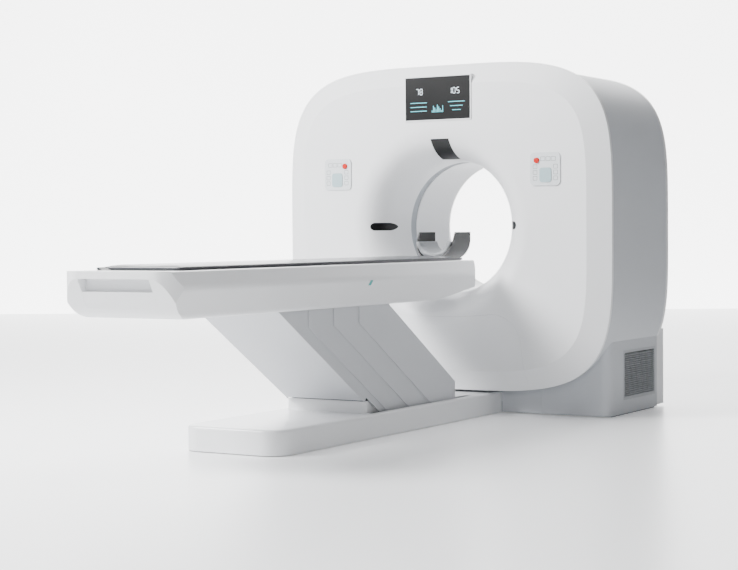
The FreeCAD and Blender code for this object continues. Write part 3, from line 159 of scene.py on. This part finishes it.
finishes = {
    "whiteMoulding": ["front_cover", "docking_panel", "rear_cover", "table_shell", "foot_cap", "table_base_cover"],
    "casingPaint": ["left_casing", "right_casing", "base_front_panel", "underside_pan"],
    "slatPaint": ["foot_slope_cover", "gantry_slope_cover", "left_slat_1", "left_slat_2", "left_slat_3", "right_slat_1",
                  "right_slat_2", "right_slat_3"],
    "framePaint": ["gantry_base", "stator_frame", "table_base_frame", "table_frame", "hv_generator", "detector_arc",
                   "drive_motor", "lift_actuator_barrel", "cradle_motor"],
    "castAluminium": ["rotor_drum", "collimator", "foot_arm", "gantry_arm"],
    "brightSteel": ["xray_tube", "motor_pulley", "lift_actuator_rod", "nose_roller"],
    "bearingSteel": ["bearing_outer_race", "bearing_inner_race", "bearing_balls"],
    "blackAcrylic": ["top_window", "left_laser_window", "right_laser_window", "display_glass"],
    "holderLaminate": ["head_holder", "slip_ring"],
    "cradleLaminate": ["cradle"],
    "vinyl": ["mattress"],
    "cushionVinyl": ["head_cushion"],
    "windowFilm": ["scan_window"],
    "keypad": ["left_control_panel", "right_control_panel"],
    "stopRed": ["left_stop_button", "right_stop_button"],
    "padBlue": ["left_table_pad", "right_table_pad"],
    "belt": ["drive_belt"],
    "rubber": ["drive_wheel"],
    "grille": ["left_grille", "right_grille"],
    "displayBezel": ["display_housing"],
    "teal": ["indicator_lamp"],
}
for finish, names in finishes.items():
    for name in names:
        mesh = nodes[name].data
        mesh.materials.clear()
        mesh.materials.append(materials[finish])
print("materials set")


# ---------- geometry helpers
def place(name, mesh, finish, body):
    obj = bpy.data.objects.new(name, mesh)
    bpy.context.scene.collection.objects.link(obj)
    mesh.materials.append(materials[finish])
    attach(obj, body)
    return obj


def plateMesh(name, corners, thickness):
    """A thin slab from its corner points in a plane across Y, growing towards the viewer's side (-Y)."""
    bm = bmesh.new()
    face = bm.faces.new([bm.verts.new(c) for c in corners])
    grown = bmesh.ops.extrude_face_region(bm, geom=[face])
    for v in grown["geom"]:
        if isinstance(v, bmesh.types.BMVert):
            v.co.y -= thickness
    bmesh.ops.recalc_face_normals(bm, faces=bm.faces)
    mesh = bpy.data.meshes.new(name)
    bm.to_mesh(mesh)
    bm.free()
    return mesh


def rectCorners(x, z, width, height, y):
    a, b = width / 2, height / 2
    return [(x - a, y, z - b), (x + a, y, z - b), (x + a, y, z + b), (x - a, y, z + b)]


def joined(name, meshes):
    bm = bmesh.new()
    for mesh in meshes:
        bm.from_mesh(mesh)
    out = bpy.data.meshes.new(name)
    bm.to_mesh(out)
    bm.free()
    return out


# ---------- display marks: plain numbers and bars behind the glass's face
displaySettings = {"lift": 0.0003, "digit": 0.030, "stroke": 0.0026}
segmentsOf = {"0": "abcdef", "1": "bc", "2": "abged", "4": "fgbc", "5": "afgcd", "7": "abc", "8": "abcdefg"}


def digitMeshes(value, x, z, height, y, stroke):
    """Seven-segment digits drawn with thin slabs."""
    width = height * 0.5
    made = []
    places = {"a": (0, 1, 1, 0), "g": (0, 0.5, 1, 0), "d": (0, 0, 1, 0), "f": (0, 0.5, 0, 1), "b": (1, 0.5, 0, 1),
              "e": (0, 0, 0, 1), "c": (1, 0, 0, 1)}
    for index, char in enumerate(value):
        left = x + index * width * 1.55
        for seg in segmentsOf[char]:
            px, pz, flat, upright = places[seg]
            if flat:
                corners = rectCorners(left + width / 2, z + pz * height, width * 0.8, stroke, y)
            else:
                corners = rectCorners(left + px * width, z + (pz + 0.25) * height, stroke, height * 0.42, y)
            made.append(plateMesh("segment", corners, displaySettings["lift"]))
    return made


print("helpers ready")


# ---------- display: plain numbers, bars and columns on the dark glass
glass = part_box("display_glass")
glassFront = glass[0][1]
glassMidZ = (glass[0][2] + glass[1][2]) / 2
brightMarks, tealMarks = [], []
for value, x, z, height in (("78", -0.130, 0.022, 0.030), ("105", 0.070, 0.022, 0.030)):
    spot = x
    for char in value:
        if char != " ":
            brightMarks += digitMeshes(char, spot, glassMidZ + z, height, glassFront, displaySettings["stroke"])
        spot += height * 0.78
for row in range(3):
    z = glassMidZ - 0.022 - row * 0.022
    tealMarks.append(plateMesh("bar", rectCorners(-0.115, z, 0.10, 0.0035, glassFront), displaySettings["lift"]))
    tealMarks.append(plateMesh("bar", rectCorners(0.115, z, 0.10 - row * 0.024, 0.0035, glassFront),
                               displaySettings["lift"]))
for step in range(9):
    height = 0.010 + 0.005 * ((step * 5) % 7)
    x = -0.032 + step * 0.008
    tealMarks.append(plateMesh("column", rectCorners(x, glassMidZ - 0.075 + height / 2, 0.004, height, glassFront),
                               displaySettings["lift"]))
place("display_digits", joined("display_digits", brightMarks), "glowWhite", "machine")
place("display_bars", joined("display_bars", tealMarks), "glowTeal", "machine")
print("display marks made")

# ---------- control panels: printed key outlines round the button and the pad
panelSettings = {"lift": 0.0002, "line": 0.0018, "key": 0.024, "gap": 0.030}


def outlineMeshes(x, z, width, height, y, line):
    """Four thin slabs that frame a rectangle."""
    made = []
    for dx, dz, w, h in ((0, height / 2, width, line), (0, -height / 2, width, line),
                         (width / 2, 0, line, height), (-width / 2, 0, line, height)):
        made.append(plateMesh("line", rectCorners(x + dx, z + dz, w, h, y), panelSettings["lift"]))
    return made


for word, side in (("left", -1), ("right", 1)):
    low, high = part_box(f"{word}_control_panel")
    midX, midZ = (low[0] + high[0]) / 2, (low[2] + high[2]) / 2
    marks = []
    for column in (-0.012, 0.018, 0.048):
        marks += outlineMeshes(midX + side * column, midZ + 0.052, panelSettings["key"], 0.020, low[1],
                               panelSettings["line"])
    for row in (0.012, -0.018, -0.048):
        marks += outlineMeshes(midX + side * 0.060, midZ + row, 0.022, 0.020, low[1], panelSettings["line"])
        marks += outlineMeshes(midX - side * 0.056, midZ + row, 0.022, 0.020, low[1], panelSettings["line"])
    place(f"{word}_panel_print", joined(f"{word}_panel_print", marks), "markGrey", "machine")
print("panel prints made")

# ---------- upholstery: remeshed, inflated by a short cloth run, then held inside its tray
softSettings = {
    "mattress": {"voxel": 0.012, "shrink": 0.004, "cap": 0.007, "pressure": 4.0, "finish": "vinyl"},
    "head_cushion": {"voxel": 0.005, "shrink": 0.003, "cap": 0.005, "pressure": 4.0, "finish": "cushionVinyl"},
}


def worldMesh(name, source):
    mesh = source.data.copy()
    mesh.name = name
    mesh.transform(source.matrix_world)
    mesh.materials.clear()
    return mesh


def softPiece(node, settings):
    """A stuffed piece in the space of its CAD solid."""
    mesh = worldMesh(node + "_soft", nodes[node])
    obj = bpy.data.objects.new(node + "_soft", mesh)
    bpy.context.scene.collection.objects.link(obj)
    bpy.context.view_layer.objects.active = obj
    remesh = obj.modifiers.new("voxels", "REMESH")
    remesh.mode = "VOXEL"
    remesh.voxel_size = settings["voxel"]
    applied = bpy.data.meshes.new_from_object(obj.evaluated_get(bpy.context.evaluated_depsgraph_get()))
    obj.modifiers.clear()
    obj.data = applied
    low, high = [Vector(v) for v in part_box(node)]
    for v in applied.vertices:
        v.co -= v.normal * settings["shrink"]
    start = [v.co.copy() for v in applied.vertices]
    cloth = obj.modifiers.new("stuffing", "CLOTH")
    cloth.settings.use_pressure = True
    cloth.settings.uniform_pressure_force = settings["pressure"]
    cloth.settings.effector_weights.gravity = 0.0
    cloth.settings.quality = 4
    cloth.collision_settings.use_collision = False
    for step in range(1, 21):
        bpy.context.scene.frame_set(step)
    puffed = bpy.data.meshes.new_from_object(obj.evaluated_get(bpy.context.evaluated_depsgraph_get()))
    obj.modifiers.clear()
    obj.data = puffed
    bpy.context.scene.frame_set(1)
    for v, old in zip(puffed.vertices, start):
        move = v.co - old
        if move.length > settings["cap"]:
            v.co = old + move * (settings["cap"] / move.length)
    for v in obj.data.vertices:
        v.co.x = min(max(v.co.x, low.x + 0.0002), high.x - 0.0002)
        v.co.y = min(max(v.co.y, low.y + 0.0002), high.y - 0.0002)
        v.co.z = max(v.co.z, low.z + 0.0002)
    return obj, low, high


def trayFloor(x, low, halfFlat, rise, halfTop):
    """Height of the cradle's inner surface under the mattress at a place across it."""
    across = abs(x)
    if across <= halfFlat:
        return low
    return low + rise * (across - halfFlat) / (halfTop - halfFlat)


mattress, low, high = softPiece("mattress", softSettings["mattress"])
for v in mattress.data.vertices:
    v.co.z = max(v.co.z, trayFloor(v.co.x, low.z + 0.0004, 0.146, 0.0246, high.x))
cushion, cushionLow, cushionHigh = softPiece("head_cushion", softSettings["head_cushion"])
cushionRadius = cushionHigh.x
cushionMidZ = cushionLow.z + cushionRadius
for v in cushion.data.vertices:
    reach = math.hypot(v.co.x, v.co.z - cushionMidZ)
    if reach > cushionRadius - 0.0003:
        factor = (cushionRadius - 0.0003) / reach
        v.co.x *= factor
        v.co.z = cushionMidZ + (v.co.z - cushionMidZ) * factor
for obj, node in ((mattress, "mattress"), (cushion, "head_cushion")):
    obj.data.materials.clear()
    obj.data.materials.append(materials[softSettings[node]["finish"]])
    smoothed = obj.modifiers.new("rounding", "SUBSURF")
    smoothed.levels = 1
    smoothed.render_levels = 1
    obj.data = bpy.data.meshes.new_from_object(obj.evaluated_get(bpy.context.evaluated_depsgraph_get()))
    obj.modifiers.clear()
    for polygon in obj.data.polygons:
        polygon.use_smooth = True
    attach(obj, "cradle")
    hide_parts(node)
print("upholstery made")

# ---------- stage
stageSettings = {"floorTone": "F4F5F6", "floorSize": 60.0}
bm = bmesh.new()
half = stageSettings["floorSize"] / 2
bm.faces.new([bm.verts.new(c) for c in ((-half, -half, 0), (half, -half, 0), (half, half, 0), (-half, half, 0))])
floorMesh = bpy.data.meshes.new("studio_floor")
bm.to_mesh(floorMesh)
bm.free()
floor = bpy.data.objects.new("studio_floor", floorMesh)
bpy.context.scene.collection.objects.link(floor)
floorMesh.materials.append(glow("studio_floor_paper", "F4F5F6", 0.22))

bm = bmesh.new()
bm.faces.new([bm.verts.new(c) for c in ((-9, 0, -1), (9, 0, -1), (9, 0, 12), (-9, 0, 12))])
wallMesh = bpy.data.meshes.new("studio_wall")
bm.to_mesh(wallMesh)
bm.free()
wall = bpy.data.objects.new("studio_wall", wallMesh)
bpy.context.scene.collection.objects.link(wall)
wall.location = (-6.6, 9.8, 0)
wall.rotation_euler = (0, 0, math.radians(31.3))
wallPaper = glow("studio_wall_paper", "FFFFFF", 5.0)
# The paper is lit on its front only; from behind it is clear, so that it hides nothing.
wallTree = wallPaper.node_tree
side = addNode(wallTree, "ShaderNodeNewGeometry")
clear = addNode(wallTree, "ShaderNodeBsdfTransparent")
oneSided = addNode(wallTree, "ShaderNodeMixShader", {}, {"Fac": side.outputs["Backfacing"]})
wallOut = next(n for n in wallTree.nodes if n.type == "OUTPUT_MATERIAL")
wallTree.links.new(wallOut.inputs["Surface"].links[0].from_socket, oneSided.inputs[1])
wallTree.links.new(clear.outputs["BSDF"], oneSided.inputs[2])
wallTree.links.new(oneSided.outputs["Shader"], wallOut.inputs["Surface"])
wallMesh.materials.append(wallPaper)

world = bpy.data.worlds.new("studio_air")
bpy.context.scene.world = world
world.use_nodes = True
world.node_tree.nodes["Background"].inputs["Color"].default_value = srgb("F7F8FA")
world.node_tree.nodes["Background"].inputs["Strength"].default_value = 0.14

lightSettings = [
    # name, position, aim, size, power
    ("key_front_left", (-3.6, -5.2, 4.6), (0, -0.6, 1.0), 2.6, 1250),
    ("fill_front_right", (2.9, -6.4, 1.8), (0, -2.0, 0.7), 1.4, 60),
    ("top_soft", (0.3, -0.8, 5.2), (0.1, -0.4, 0.8), 3.0, 160),
]
for name, spot, aim, size, power in lightSettings:
    data = bpy.data.lights.new(name, "AREA")
    data.size = size
    data.energy = power
    lamp = bpy.data.objects.new(name, data)
    bpy.context.scene.collection.objects.link(lamp)
    lamp.location = spot
    lamp.rotation_euler = (Vector(aim) - Vector(spot)).to_track_quat("-Z", "Y").to_euler()

# ---------- camera: low three-quarter view from the foot's right
cameraSettings = {"spot": (4.4915, -8.4277, 0.97585), "azimuth": 31.3, "pitch": -1.75, "roll": -0.45, "lens": 84.47}
camData = bpy.data.cameras.new("view_camera")
camData.lens = cameraSettings["lens"]
camData.sensor_width = 36
camData.clip_end = 100
camera = bpy.data.objects.new("view_camera", camData)
bpy.context.scene.collection.objects.link(camera)
camera.location = cameraSettings["spot"]
azimuth, pitch = math.radians(cameraSettings["azimuth"]), math.radians(cameraSettings["pitch"])
look = Vector((-math.sin(azimuth) * math.cos(pitch), math.cos(azimuth) * math.cos(pitch), math.sin(pitch)))
rotation = look.to_track_quat("-Z", "Y").to_matrix()
roll = math.radians(cameraSettings["roll"])
camera.rotation_euler = rotation.to_euler()
camera.rotation_euler.rotate_axis("Z", roll)
bpy.context.scene.camera = camera
print("stage ready")
